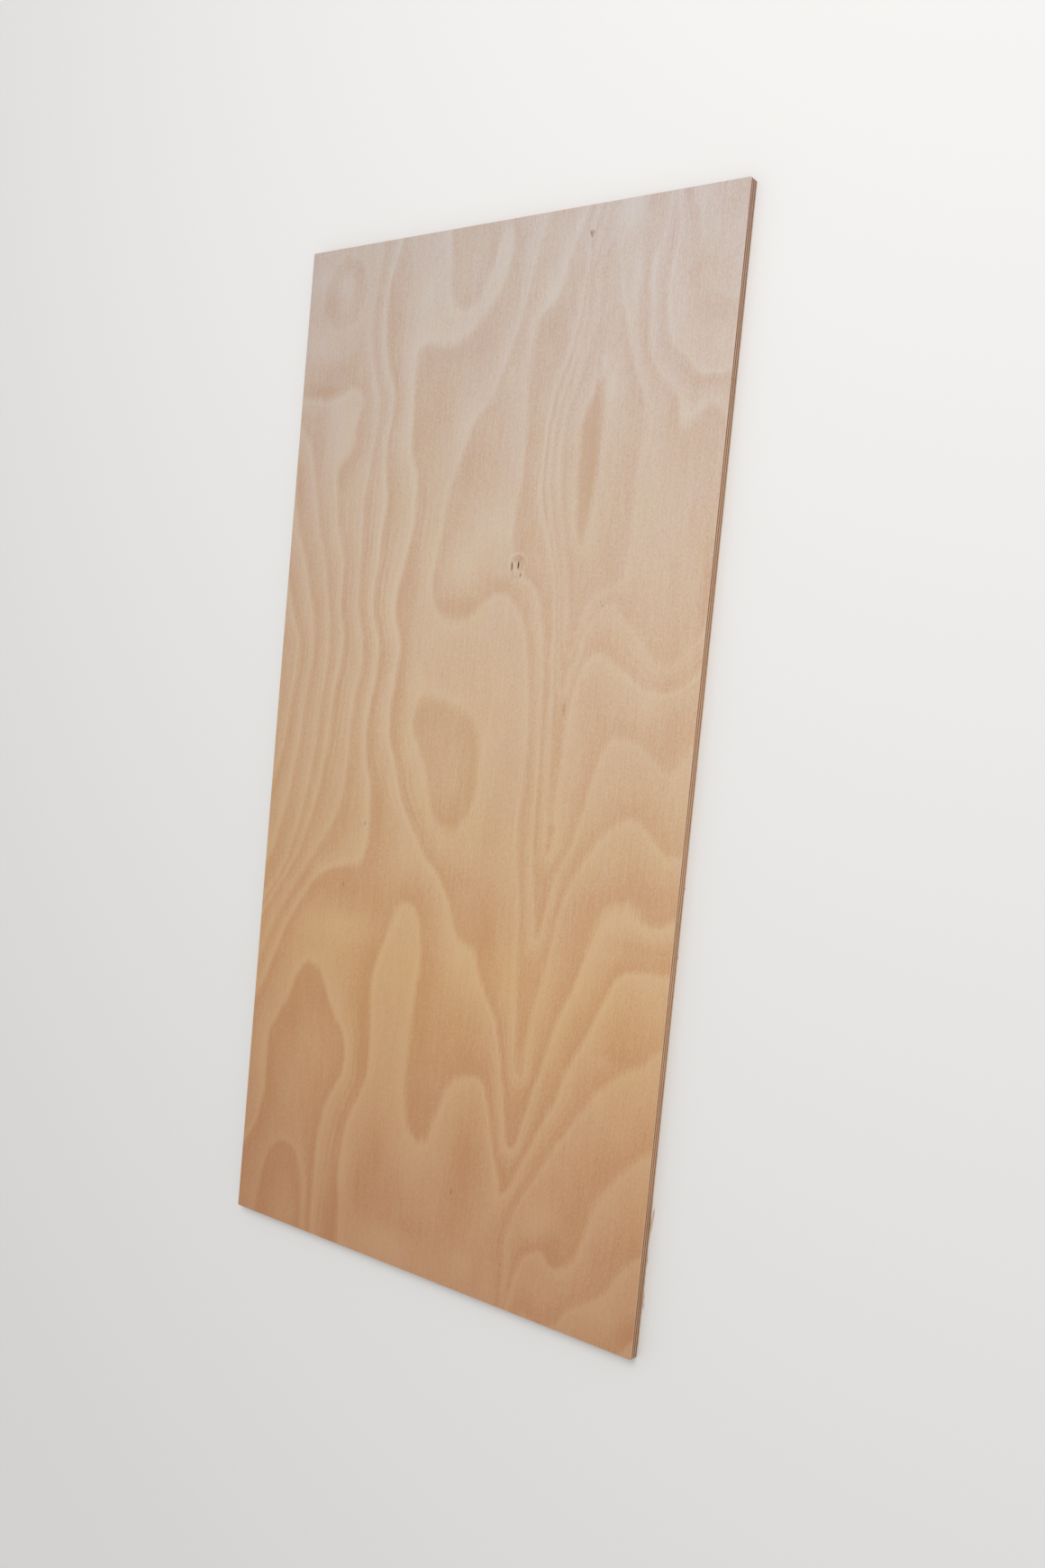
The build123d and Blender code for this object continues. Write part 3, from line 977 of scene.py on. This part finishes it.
@dataclass
class FaceVeneer:
    """The sanded face veneer: a finely divided sheet that carries the figure and the open knot.

    Sizes are in millimetres.
    """

    node: str
    knot: Knot = Knot()
    knot_reach: tuple[float, float] = (16.0, 17.0)
    spacing: tuple[float, float] = (3.4, 4.8)
    knot_spacing: tuple[float, float] = (0.35, 0.8)
    corner_radius: float = 1.5
    corner_steps: int = 4
    arris_radius: float = 0.5
    arris_steps: int = 4
    skin_under_checks: float = 0.3
    arc_tone: float = 0.8
    sharp_edge: float = math.radians(50)

    def __post_init__(self) -> None:
        """Take the veneer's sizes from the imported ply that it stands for."""
        low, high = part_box(self.node)
        self.half_size = (high.x / MM, high.y / MM)
        self.underside = low.z / MM
        self.top = high.z / MM

    def stations(self, axis: int) -> np.ndarray:
        """Space grid lines along X or Y, closer together over the knot.

        Args:
            axis: X or Y.

        Returns:
            The lines' places.
        """
        last = self.half_size[axis] - self.corner_radius
        middle = (self.knot.body.x, self.knot.body.y)[axis]
        near, far = middle - self.knot_reach[axis], middle + self.knot_reach[axis]
        wide, close = self.spacing[axis], self.knot_spacing[axis]
        runs = []
        for start, end, step in ((-last, near, wide), (near, far, close), (far, last, wide)):
            count = math.ceil((end - start) / step)
            runs.append(np.linspace(start, end, count, endpoint=False))
        return np.concatenate([*runs, [last]])

    def border(self, grid: np.ndarray) -> list[tuple[int, float, float]]:
        """Walk the grid's border anticlockwise, seen from above.

        Args:
            grid: The numbers of the grid's points, in rows along the sheet.

        Returns:
            For each step, the grid point and the way out from it, with a fan at each corner.
        """
        steps = []
        for points, heading in ((grid[0], -90), (grid[:, -1], 0), (grid[-1, ::-1], 90), (grid[::-1, 0], 180)):
            steps += [(point, heading) for point in points.tolist()]
            fan = range(1, self.corner_steps)
            steps += [(int(points[-1]), heading + 90 * turn / self.corner_steps) for turn in fan]
        return [(point, math.cos(math.radians(way)), math.sin(math.radians(way))) for point, way in steps]

    def edge_profile(self) -> list[tuple[float, float]]:
        """List the offsets and heights that take the grid's border over the arris and down.

        Returns:
            How far out each loop of the border lies, and its height.
        """
        flat = self.corner_radius - self.arris_radius
        profile = []
        for step in range(self.arris_steps + 1):
            turn = math.radians(90 * step / self.arris_steps)
            drop = self.arris_radius * (1 - math.cos(turn))
            profile.append((flat + self.arris_radius * math.sin(turn), self.top - drop))
        return [*profile, (self.corner_radius, self.underside)]

    def shell(self) -> tuple[np.ndarray, list[list[int]]]:
        """Make the veneer's closed shell, with a flat top.

        Returns:
            The points and the faces.
        """
        grid_x, grid_y = np.meshgrid(self.stations(X), self.stations(Y))
        points = np.stack([grid_x.ravel(), grid_y.ravel(), np.full(grid_x.size, self.top)], 1)
        grid = np.arange(grid_x.size).reshape(grid_x.shape)
        corners = (grid[:-1, :-1], grid[:-1, 1:], grid[1:, 1:], grid[1:, :-1])
        faces = np.stack([corner.ravel() for corner in corners], 1).tolist()
        walk = self.border(grid)
        inner = [step[0] for step in walk]
        for offset, height in self.edge_profile():
            loop = [(points[p][0] + offset * ux, points[p][1] + offset * uy, height) for p, ux, uy in walk]
            outer = list(range(len(points), len(points) + len(loop)))
            points = np.vstack([points, loop])
            for a, b, c, d in zip(inner, outer, outer[1:] + outer[:1], inner[1:] + inner[:1]):
                faces.append([a, b, c] if a == d else [a, b, c, d])
            inner = outer
        faces.append(inner[::-1])
        return points, faces

    def build(self, figure: FaceFigure, finish: FaceFinish) -> bpy.types.Object:
        """Make the veneer.

        Args:
            figure: The growth-ring figure.
            finish: The finish of the face.

        Returns:
            The piece.
        """
        points, faces = self.shell()
        marks = figure.read(points[:, X], points[:, Y])
        marks.update(self.knot.marks(points[:, X], points[:, Y]))
        marks["tone"] += self.arc_tone * marks.pop("over")
        deepest = self.top - self.underside - self.skin_under_checks
        points[:, Z] -= np.where(np.isclose(points[:, Z], self.top), marks.pop("depth") * deepest, 0)
        mesh = bpy.data.meshes.new("face_veneer_sanded")
        mesh.from_pydata((points * MM).tolist(), [], faces)
        for name, values in marks.items():
            layer = mesh.attributes.new(name, "FLOAT", "POINT")
            layer.data.foreach_set("value", values.astype(np.float32))
        mesh.shade_smooth()
        mesh.set_sharp_from_angle(angle=self.sharp_edge)
        mesh.materials.append(finish.material())
        piece = placed("face_veneer_sanded", mesh)
        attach(piece, ROOT)
        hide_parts(self.node)
        return piece


class Grain(Enum):
    """Which way a ply's fibres run, by the axis along which its end grain faces."""

    ALONG = Y
    ACROSS = X


# The edges' tone and painted light, from the lower end up: browner there, and greyer at the upper end, partly
# the wood's tone and partly painted light
EDGE_TONE_AND_PAINTED_LIGHT: Stops = (
    (0.0, (0.82, 0.76, 0.68, 1.0)),
    (0.2, (1.02, 0.96, 0.87, 1.0)),
    (0.47, (1.09, 1.07, 1.03, 1.0)),
    (0.75, (0.99, 0.98, 0.98, 1.0)),
    (1.0, (0.77, 0.80, 0.94, 1.0)),
)


def edge_tone_and_painted_light(sheet: NodeSheet, y: Socket, colour: Socket) -> Socket:
    """Tint an edge's colour by its place along the sheet, in metres, with its tone and painted light."""
    return sheet.tinted(colour, sheet.ramp(y, EDGE_TONE_AND_PAINTED_LIGHT, 1 / SHEET_LENGTH))


@dataclass(frozen=True)
class PlyFinish:
    """The look of an inner ply: fibres on its long grain, pores and cracks on its end grain.

    The scales of its long and end patterns run along, across and through the fibres.
    """

    name: str
    grain: Grain
    long_grain: Colour
    end_grain: Colour
    end_faces: Slope = Slope(0.45, 0.8)
    long_patterns: tuple[Pattern, ...] = (
        Pattern((14, 700, 2600), 3.0, 0.65, weight=0.14),
        Pattern((160, 2500, 5200), weight=0.08, relief=0.5),
        Pattern((9, 9, 9), 2.0, 0.5, weight=0.06),
    )
    end_patterns: tuple[Pattern, ...] = (
        Pattern((2600, 2600, 2600), 2.0, 0.7, weight=0.2, relief=0.5),
        Pattern((500, 75, 420), 3.0, weight=0.1),
        Pattern((9, 9, 9), 2.0, 0.5, weight=0.08),
    )
    saw_marks: Pattern = Pattern((750, 750, 45), relief=0.9)
    relief_depth: float = 0.2 * MM
    # The lathe's cracks, counted along the edge and through the ply from a start off the sheet
    cracks_along: float = 290.0
    cracks_through: float = 190.0
    crack_start: float = 400.0
    crack_waver: Pattern = Pattern((210, 210, 500), weight=0.5)
    crack: Slope = Slope(0.0, 0.09, 1.0, 0.0)
    crack_tone: float = -0.34
    cracked_places: Pattern = Pattern((120, 120, 300), 1.0, 0.5, slope=Slope(-0.2, 0.4))
    # The thin dark glue lines at the ply's top and underside, fainter on faces up or down
    glue: Colour = paint(112, 78, 54)
    glue_line: Slope = Slope(0.0, 0.16 * MM, 0.75, 0.0)
    glue_seep: Pattern = Pattern((160, 160, 2000), weight=0.05 * MM)
    glued_faces: Slope = Slope(0.5, 0.9, 1.0, 0.25)

    def laid(self, patterns: Sequence[Pattern]) -> list[Pattern]:
        """Lay patterns along this ply's fibres.

        Args:
            patterns: The patterns, with scales along, across and through the fibres.

        Returns:
            The patterns, with scales on X, Y and Z.
        """
        order = (Y, X, Z) if self.grain is Grain.ALONG else (X, Y, Z)
        return [replace(one, scale=tuple(one.scale[axis] for axis in order)) for one in patterns]

    def material(self, underside: float, top: float) -> bpy.types.Material:
        """Write the material.

        Args:
            underside: The ply's lowest height, in metres.
            top: Its highest height.

        Returns:
            The material.
        """
        sheet = MaterialSheet(self.name)
        place = sheet.place()
        spot = sheet.split(place)
        end = sheet.slope(sheet.squarely(self.grain.value), self.end_faces)
        long_tones, long_reliefs = sheet.shares(place, self.laid(self.long_patterns))
        end_tones, end_reliefs = sheet.shares(place, self.laid(self.end_patterns))
        _, saw_reliefs = sheet.shares(place, (self.saw_marks,))
        cracks = sheet.times(self.lathe_cracks(sheet, place, spot), self.crack_tone)
        tone = sheet.mix(end, sheet.total(1.0, *long_tones), sheet.total(1.0, *end_tones, cracks))
        colour = sheet.tinted(sheet.mix(end, self.long_grain, self.end_grain), tone)
        from_top = sheet.math("SUBTRACT", top, spot[Z])
        from_underside = sheet.math("SUBTRACT", spot[Z], underside)
        seep = sheet.times(sheet.noise(place, self.glue_seep), self.glue_seep.weight)
        nearest = sheet.total(sheet.math("MINIMUM", from_top, from_underside), seep)
        glued = sheet.slope(sheet.squarely(Z), self.glued_faces)
        colour = sheet.mix(sheet.times(sheet.slope(nearest, self.glue_line), glued), colour, self.glue)
        relief = sheet.total(*long_reliefs, *end_reliefs, *saw_reliefs)
        # The ply's edges take the tone and painted light along the sheet
        return sheet.finish(edge_tone_and_painted_light(sheet, spot[Y], colour), relief, self.relief_depth)

    def lathe_cracks(self, sheet: NodeSheet, place: Socket, spot: list[Socket]) -> Socket:
        """Mark the slanting hairline cracks that peeling leaves in a veneer's end grain.

        Args:
            sheet: The node sheet being written.
            place: The point's place.
            spot: The same place, split.

        Returns:
            The cracks' strength, 0 to 1.
        """
        along_edge = spot[X if self.grain is Grain.ALONG else Y]
        slant = (sheet.times(along_edge, self.cracks_along), sheet.times(spot[Z], self.cracks_through))
        waver = sheet.times(sheet.noise(place, self.crack_waver), self.crack_waver.weight)
        share = sheet.math("FRACT", sheet.total(*slant, waver, self.crack_start))
        crack = sheet.slope(sheet.math("ABSOLUTE", sheet.math("SUBTRACT", share, 0.5)), self.crack)
        return sheet.times(crack, sheet.noise(place, self.cracked_places))


@dataclass(frozen=True)
class BackFinish:
    """The look of the unsanded back: a broad plain rotary figure, rougher than the face."""

    from_dark: Stops = ((0.0, paint(184, 148, 118)), (0.5, paint(205, 172, 143)), (1.0, paint(219, 192, 165)))
    swell: Pattern = Pattern((4.2, 0.95, 1), 1.0, 0.4, weight=5.0)
    ragged: Pattern = Pattern((420, 34, 1), weight=0.03)
    ring_start: float = 20.0
    ridge: Slope = Slope(0.75, 0.98, 0.0, 0.6)
    groove: Slope = Slope(0.0, 0.3, -0.6, 0.0)
    drift: float = 0.4
    fibre: Pattern = Pattern((2400, 120, 5200), weight=0.16, relief=0.6)
    streak: Pattern = Pattern((800, 16, 2600), 3.0, 0.65, weight=0.25, relief=0.6)
    cloud: Pattern = Pattern((18, 6, 9), 2.0, 0.5, weight=0.2)
    relief_depth: float = 0.2 * MM
    torn: Colour = paint(224, 199, 170)
    torn_faces: Slope = Slope(0.4, 0.8, 0.7, 0.0)
    end_grain: Colour = paint(162, 116, 86)
    end_faces: Slope = Slope(0.8, 0.97)
    pores: Pattern = Pattern((2600, 2600, 2600), 2.0, 0.7, weight=0.2)
    fresh: Colour = paint(238, 212, 184)
    fresh_share: float = 0.6
    fresh_start: float = 0.1 * MM
    fresh_end: float = 0.8 * MM
    glue: Colour = paint(120, 84, 58)
    glue_line: Slope = Slope(1.36 * MM, 1.5 * MM, 0.0, 1.0)
    glue_seep: float = 0.03 * MM

    def figure(self, sheet: NodeSheet, place: Socket) -> Socket:
        """Draw the rings of the back.

        Args:
            sheet: The node sheet being written.
            place: The point's place.

        Returns:
            The rings' tone.
        """
        rings, _ = sheet.shares(place, (self.swell, self.ragged))
        passed = sheet.math("FRACT", sheet.total(*rings, self.ring_start))
        line = sheet.total(sheet.slope(passed, self.ridge), sheet.slope(passed, self.groove))
        return sheet.total(line, sheet.times(sheet.math("SUBTRACT", passed, 0.5), self.drift))

    def material(self, sawn_edge: float) -> bpy.types.Material:
        """Write the material.

        Args:
            sawn_edge: How far out the sawn edges lie from the centre line, in metres.

        Returns:
            The material.
        """
        sheet = MaterialSheet("back_veneer_unsanded")
        place = sheet.place()
        x, y, height = sheet.split(place)
        tones, reliefs = sheet.shares(place, (self.streak, self.fibre, self.cloud))
        colour = sheet.ramp(sheet.total(self.figure(sheet, place), *tones), self.from_dark)
        side = sheet.slope(sheet.squarely(Z), self.torn_faces)
        colour = sheet.mix(side, colour, self.torn)
        grey = sheet.math("MULTIPLY_ADD", sheet.noise(place, self.pores), self.pores.weight, 1.0)
        end = sheet.slope(sheet.squarely(Y), self.end_faces)
        colour = sheet.mix(end, colour, sheet.tinted(self.end_grain, grey))
        seep = sheet.total(height, sheet.times(sheet.noise(place, self.fibre), self.glue_seep))
        colour = sheet.mix(sheet.times(sheet.slope(seep, self.glue_line), side), colour, self.glue)
        # The torn sides take the tone and painted light along the sheet
        colour = sheet.mix(side, colour, edge_tone_and_painted_light(sheet, y, colour))
        proud = Slope(sawn_edge + self.fresh_start, sawn_edge + self.fresh_end, 0.0, self.fresh_share)
        colour = sheet.mix(sheet.slope(x, proud), colour, self.fresh)
        return sheet.finish(colour, sheet.total(*reliefs), self.relief_depth)


@dataclass
class PlyStack:
    """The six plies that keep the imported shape, dressed for the way each one's fibres run."""

    nodes: dict[str, bpy.types.Object]
    core: PlyFinish = PlyFinish("core", Grain.ALONG, paint(228, 193, 158), paint(158, 112, 82))
    crossband: PlyFinish = PlyFinish("crossband", Grain.ACROSS, paint(218, 182, 148), paint(158, 108, 79))
    back: BackFinish = BackFinish()
    inner_plies: tuple[str, ...] = (
        "back_crossband", "back_core", "middle_crossband", "face_core", "face_crossband"
    )

    def dress(self) -> list[bpy.types.Object]:
        """Give every kept ply its finish.

        Returns:
            The dressed plies.
        """
        materials = {}
        for name in self.inner_plies:
            low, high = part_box(name)
            finish = self.core if name.endswith("core") else self.crossband
            materials[name] = finish.material(low.z, high.z)
        _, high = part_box("back_core")
        materials["back_veneer"] = self.back.material(high.x)
        for name, material in materials.items():
            for slot in self.nodes[name].material_slots:
                slot.material = material
        return [self.nodes[name] for name in materials]


@dataclass(frozen=True)
class FuzzRun:
    """One kind of loose fibre on the right-hand edge, and where along the edge it grows."""

    name: str
    lowest: float
    highest: float
    per_square_metre: float
    fibre_length: float
    fibre_radius: float
    lean: float
    seed: int
    every_ply: bool = True


@dataclass(frozen=True)
class FuzzFinish:
    """The look of the loose fibres: pale bare wood, streaked along the fibre."""

    streaks: Pattern = Pattern((900, 220, 900))
    contrast: float = 0.4
    from_dark: Stops = ((0.0, paint(206, 168, 132)), (1.0, paint(245, 226, 200)))

    def material(self) -> bpy.types.Material:
        """Write the material.

        Returns:
            The material.
        """
        sheet = MaterialSheet("loose_fibre")
        shade = sheet.noise(sheet.place(), self.streaks)
        return sheet.finish(sheet.ramp(shade, self.from_dark, self.contrast))


@dataclass
class EdgeFuzz:
    """Loose fibres that sawing left along the right-hand edge, and tearing at its lower end."""

    nodes: dict[str, bpy.types.Object]
    runs: tuple[FuzzRun, ...] = (
        FuzzRun(
            "sawn",
            lowest=-0.600,
            highest=0.600,
            per_square_metre=120000.0,
            fibre_length=1.2 * MM,
            fibre_radius=0.06 * MM,
            lean=math.radians(9),
            seed=11,
        ),
        FuzzRun(
            "torn",
            lowest=-0.598,
            highest=-0.430,
            per_square_metre=2400000.0,
            fibre_length=3.4 * MM,
            fibre_radius=0.10 * MM,
            lean=math.radians(17),
            seed=12,
            every_ply=False,
        ),
    )
    finish: FuzzFinish = FuzzFinish()
    sides_of_a_fibre: int = 4
    least_swing: float = 0.15
    smallest: Triple = (0.6, 0.6, 0.3)
    greatest: Triple = (1.3, 1.3, 1.6)
    facing_right: float = 0.25
    weld: float = 1e-7

    def __post_init__(self) -> None:
        """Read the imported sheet's box, which the fibres are held inside."""
        low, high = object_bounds()
        self.low, self.high = np.array(low), np.array(high)

    def tree(self) -> bpy.types.NodeTree:
        """Write the Geometry Nodes tree that grows tapered fibres from an edge.

        Returns:
            The tree.
        """
        tree = bpy.data.node_groups.new("loose_fibres", "GeometryNodeTree")
        for name, kind in (
            ("Geometry", "Geometry"),
            ("Fibres per square metre", "Float"),
            ("Fibre length", "Float"),
            ("Fibre radius", "Float"),
            ("Lean", "Float"),
            ("Seed", "Int"),
            ("Material", "Material"),
        ):
            tree.interface.new_socket(name=name, in_out="INPUT", socket_type=f"NodeSocket{kind}")
        tree.interface.new_socket(name="Geometry", in_out="OUTPUT", socket_type="NodeSocketGeometry")
        sheet = NodeSheet(tree)
        given = sheet.add("NodeGroupInput").outputs
        seed = given["Seed"]
        ground = {"Mesh": given["Geometry"], "Density": given["Fibres per square metre"], "Seed": seed}
        points = sheet.add("GeometryNodeDistributePointsOnFaces", ground).outputs["Points"]
        cone = {
            "Vertices": self.sides_of_a_fibre,
            "Radius Top": 0.0,
            "Radius Bottom": given["Fibre radius"],
            "Depth": given["Fibre length"],
        }
        fibre = sheet.add("GeometryNodeMeshCone", cone).outputs["Mesh"]
        swing = sheet.random("FLOAT", seed, Min=self.least_swing, Max=1.0)
        size = sheet.random("FLOAT_VECTOR", seed, Min=self.smallest, Max=self.greatest)
        # Each fibre lies along the edge, one way or the other, and leans out from it
        side = sheet.math("MULTIPLY_ADD", sheet.random("BOOLEAN", seed, Probability=0.5), 2.0, -1.0)
        turns = {"X": sheet.times(side, math.pi / 2), "Z": sheet.times(swing, given["Lean"], side)}
        turn = sheet.add("ShaderNodeCombineXYZ", turns).outputs[0]
        plant = {"Points": points, "Instance": fibre, "Rotation": turn, "Scale": size}
        planted = sheet.add("GeometryNodeInstanceOnPoints", plant).outputs[0]
        real = sheet.add("GeometryNodeRealizeInstances", (planted,)).outputs[0]
        dress = {"Geometry": real, "Material": given["Material"]}
        dressed = sheet.add("GeometryNodeSetMaterial", dress).outputs[0]
        sheet.add("NodeGroupOutput", (dressed,))
        return tree

    def edge_faces(self, run: FuzzRun) -> bpy.types.Mesh:
        """Copy the faces that look to the right where a kind of fibre grows.

        Args:
            run: The kind of fibre.

        Returns:
            The faces of every ply, or of the back veneer alone.
        """
        gathered = bmesh.new()
        for name in self.nodes if run.every_ply else ("back_veneer",):
            gathered.from_mesh(self.nodes[name].data)
        bmesh.ops.remove_doubles(gathered, verts=gathered.verts, dist=self.weld)
        for place, outward in ((run.lowest, -1), (run.highest, 1)):
            bmesh.ops.bisect_plane(
                gathered,
                geom=gathered.verts[:] + gathered.edges[:] + gathered.faces[:],
                plane_co=(0, place, 0),
                plane_no=(0, outward, 0),
                clear_outer=True,
            )
        gathered.normal_update()
        right = self.facing_right
        others = [f for f in gathered.faces if f.normal.x < right or f.calc_center_median().x < 0]
        bmesh.ops.delete(gathered, geom=others, context="FACES")
        mesh = bpy.data.meshes.new("right_edge")
        gathered.to_mesh(mesh)
        gathered.free()
        return mesh

    def grow(self, run: FuzzRun, tree: bpy.types.NodeTree, material: bpy.types.Material) -> bpy.types.Mesh:
        """Grow one kind of fibre.

        Args:
            run: The kind of fibre.
            tree: The Geometry Nodes tree.
            material: The fibres' material.

        Returns:
            A plain mesh of the fibres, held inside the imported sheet's box.
        """
        ground = placed("fuzz_ground", self.edge_faces(run))
        grower = ground.modifiers.new("loose_fibres", "NODES")
        grower.node_group = tree
        values = {
            "Fibres per square metre": run.per_square_metre,
            "Fibre length": run.fibre_length,
            "Fibre radius": run.fibre_radius,
            "Lean": run.lean,
            "Seed": run.seed,
            "Material": material,
        }
        for item in tree.interface.items_tree:
            if item.in_out == "INPUT" and item.name in values:
                grower[item.identifier] = values[item.name]
        mesh = bpy.data.meshes.new_from_object(ground.evaluated_get(bpy.context.evaluated_depsgraph_get()))
        bpy.data.objects.remove(ground)
        places = np.empty(len(mesh.vertices) * 3)
        mesh.vertices.foreach_get("co", places)
        held = np.clip(places.reshape(-1, 3), self.low, self.high)
        mesh.vertices.foreach_set("co", held.ravel())
        mesh.update()
        return mesh

    def build(self) -> list[bpy.types.Object]:
        """Grow every run of fibres.

        Returns:
            The pieces.
        """
        tree = self.tree()
        material = self.finish.material()
        pieces = []
        for run in self.runs:
            piece = placed(f"edge_fibres_{run.name}", self.grow(run, tree, material))
            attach(piece, ROOT)
            pieces.append(piece)
        return pieces


@dataclass(frozen=True)
class Viewpoint:
    """Where the photograph was taken from, in the lying sheet's frame."""

    location: Triple = (1.0054, 0.0341, 1.2558)
    looks_at: Triple = (0.0986, -0.0785, 0.012)
    up: Triple = (-0.11823, 0.99298, -0.00366)
    lens: float = 32.27
    sensor_width: float = 36.0
    shift_y: float = 0.0358
    clip_start: float = 0.05

    def set_camera(self) -> None:
        """Make the camera and let the scene use it."""
        data = bpy.data.cameras.new("camera")
        for setting in ("sensor_width", "lens", "shift_y", "clip_start"):
            setattr(data, setting, getattr(self, setting))
        camera = placed("camera", data)
        ahead = (Vector(self.looks_at) - Vector(self.location)).normalized()
        right = ahead.cross(Vector(self.up)).normalized()
        turn = Matrix((right, right.cross(ahead), -ahead)).transposed()
        camera.matrix_world = Matrix.Translation(self.location) @ turn.to_4x4()
        bpy.context.scene.camera = camera


@dataclass(frozen=True)
class Studio:
    """A plain pale floor under soft, nearly white light."""

    floor_size: float = 24.0
    floor_gap: float = 0.2 * MM
    floor_colour: Colour = paint(238, 237, 235)
    floor_roughness: float = 0.9
    floor_specular: float = 0.1
    fade: Slope = Slope(1.2, 3.2)
    sky_strength: float = 0.62
    backdrop_strength: float = 0.84
    lamp_place: Triple = (0.8, 1.5, 2.3)
    lamp_size: float = 1.6
    lamp_power: float = 34.0

    @staticmethod
    def background_rays(sheet: NodeSheet) -> Socket:
        """Say 1 for the rays that show the background.

        Args:
            sheet: The node sheet being written.

        Returns:
            1 where the background is seen, mirrored or seen through glass, and 0 elsewhere.
        """
        path = sheet.add("ShaderNodeLightPath").outputs
        kinds = (path["Is Camera Ray"], path["Is Glossy Ray"], path["Is Transmission Ray"])
        return reduce(partial(sheet.math, "MAXIMUM"), kinds)

    def build(self) -> None:
        """Make the floor, the lamp and the world."""
        self.lay_floor()
        self.hang_lamp()
        self.set_world()
        bpy.context.scene.view_settings.view_transform = "Standard"

    def lay_floor(self) -> None:
        """Lay the floor just under the sheet, fading into the backdrop away from it."""
        mesh = bpy.data.meshes.new("floor")
        half = self.floor_size / 2
        corners = ((-half, -half), (half, -half), (half, half), (-half, half))
        mesh.from_pydata([(x, y, -self.floor_gap) for x, y in corners], [], [(0, 1, 2, 3)])
        sheet = MaterialSheet("floor", self.floor_roughness, self.floor_specular)
        mesh.materials.append(sheet.finish(self.floor_colour))
        fade = sheet.slope(sheet.length(sheet.place()), self.fade)
        glow = sheet.add("ShaderNodeEmission", {"Color": WHITE, "Strength": self.backdrop_strength})
        share = sheet.times(fade, self.background_rays(sheet))
        blend = sheet.add("ShaderNodeMixShader", (share, sheet.shader.outputs[0], glow.outputs[0]))
        sheet.feed(sheet.tree.nodes["Material Output"].inputs["Surface"], blend.outputs[0])
        placed("floor", mesh)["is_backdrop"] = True

    def hang_lamp(self) -> None:
        """Hang one large soft lamp over the sheet's upper right, aimed at its centre."""
        data = bpy.data.lights.new("soft_lamp", "AREA")
        data.size = self.lamp_size
        data.energy = self.lamp_power
        lamp = placed("soft_lamp", data)
        lamp.location = self.lamp_place
        lamp.rotation_mode = "QUATERNION"
        lamp.rotation_quaternion = (-Vector(self.lamp_place)).to_track_quat("-Z", "Y")

    def set_world(self) -> None:
        """Light the sheet evenly from all round, with a pale backdrop where the camera sees it."""
        world = bpy.data.worlds.new("soft_sky")
        world.use_nodes = True
        bpy.context.scene.world = world
        sheet = NodeSheet(world.node_tree)
        strengths = Slope(0.0, 1.0, self.sky_strength, self.backdrop_strength)
        sky = world.node_tree.nodes["Background"]
        sheet.feed(sky.inputs["Color"], WHITE)
        sheet.feed(sky.inputs["Strength"], sheet.slope(self.background_rays(sheet), strengths))


@dataclass
class PlywoodSheet:
    """The whole sheet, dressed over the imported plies."""

    nodes: dict[str, bpy.types.Object]

    def build(self) -> list[bpy.types.Object]:
        """Make and dress every piece.

        Returns:
            The pieces, in the order in which they were made.
        """
        face = FaceVeneer("face_veneer")
        pieces = EdgeFuzz(self.nodes).build()
        pieces.append(face.build(FaceFigure(), FaceFinish()))
        pieces.extend(PlyStack(self.nodes).dress())
        return pieces


def main() -> None:
    """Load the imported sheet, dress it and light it."""
    logging.basicConfig(level=logging.INFO, format="%(name)s: %(message)s")
    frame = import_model()
    for piece in PlywoodSheet(frame["nodes"]).build():
        log.info("%s: %d faces", piece.name, len(piece.data.polygons))
    Studio().build()
    Viewpoint().set_camera()


if __name__ == "__main__":
    main()
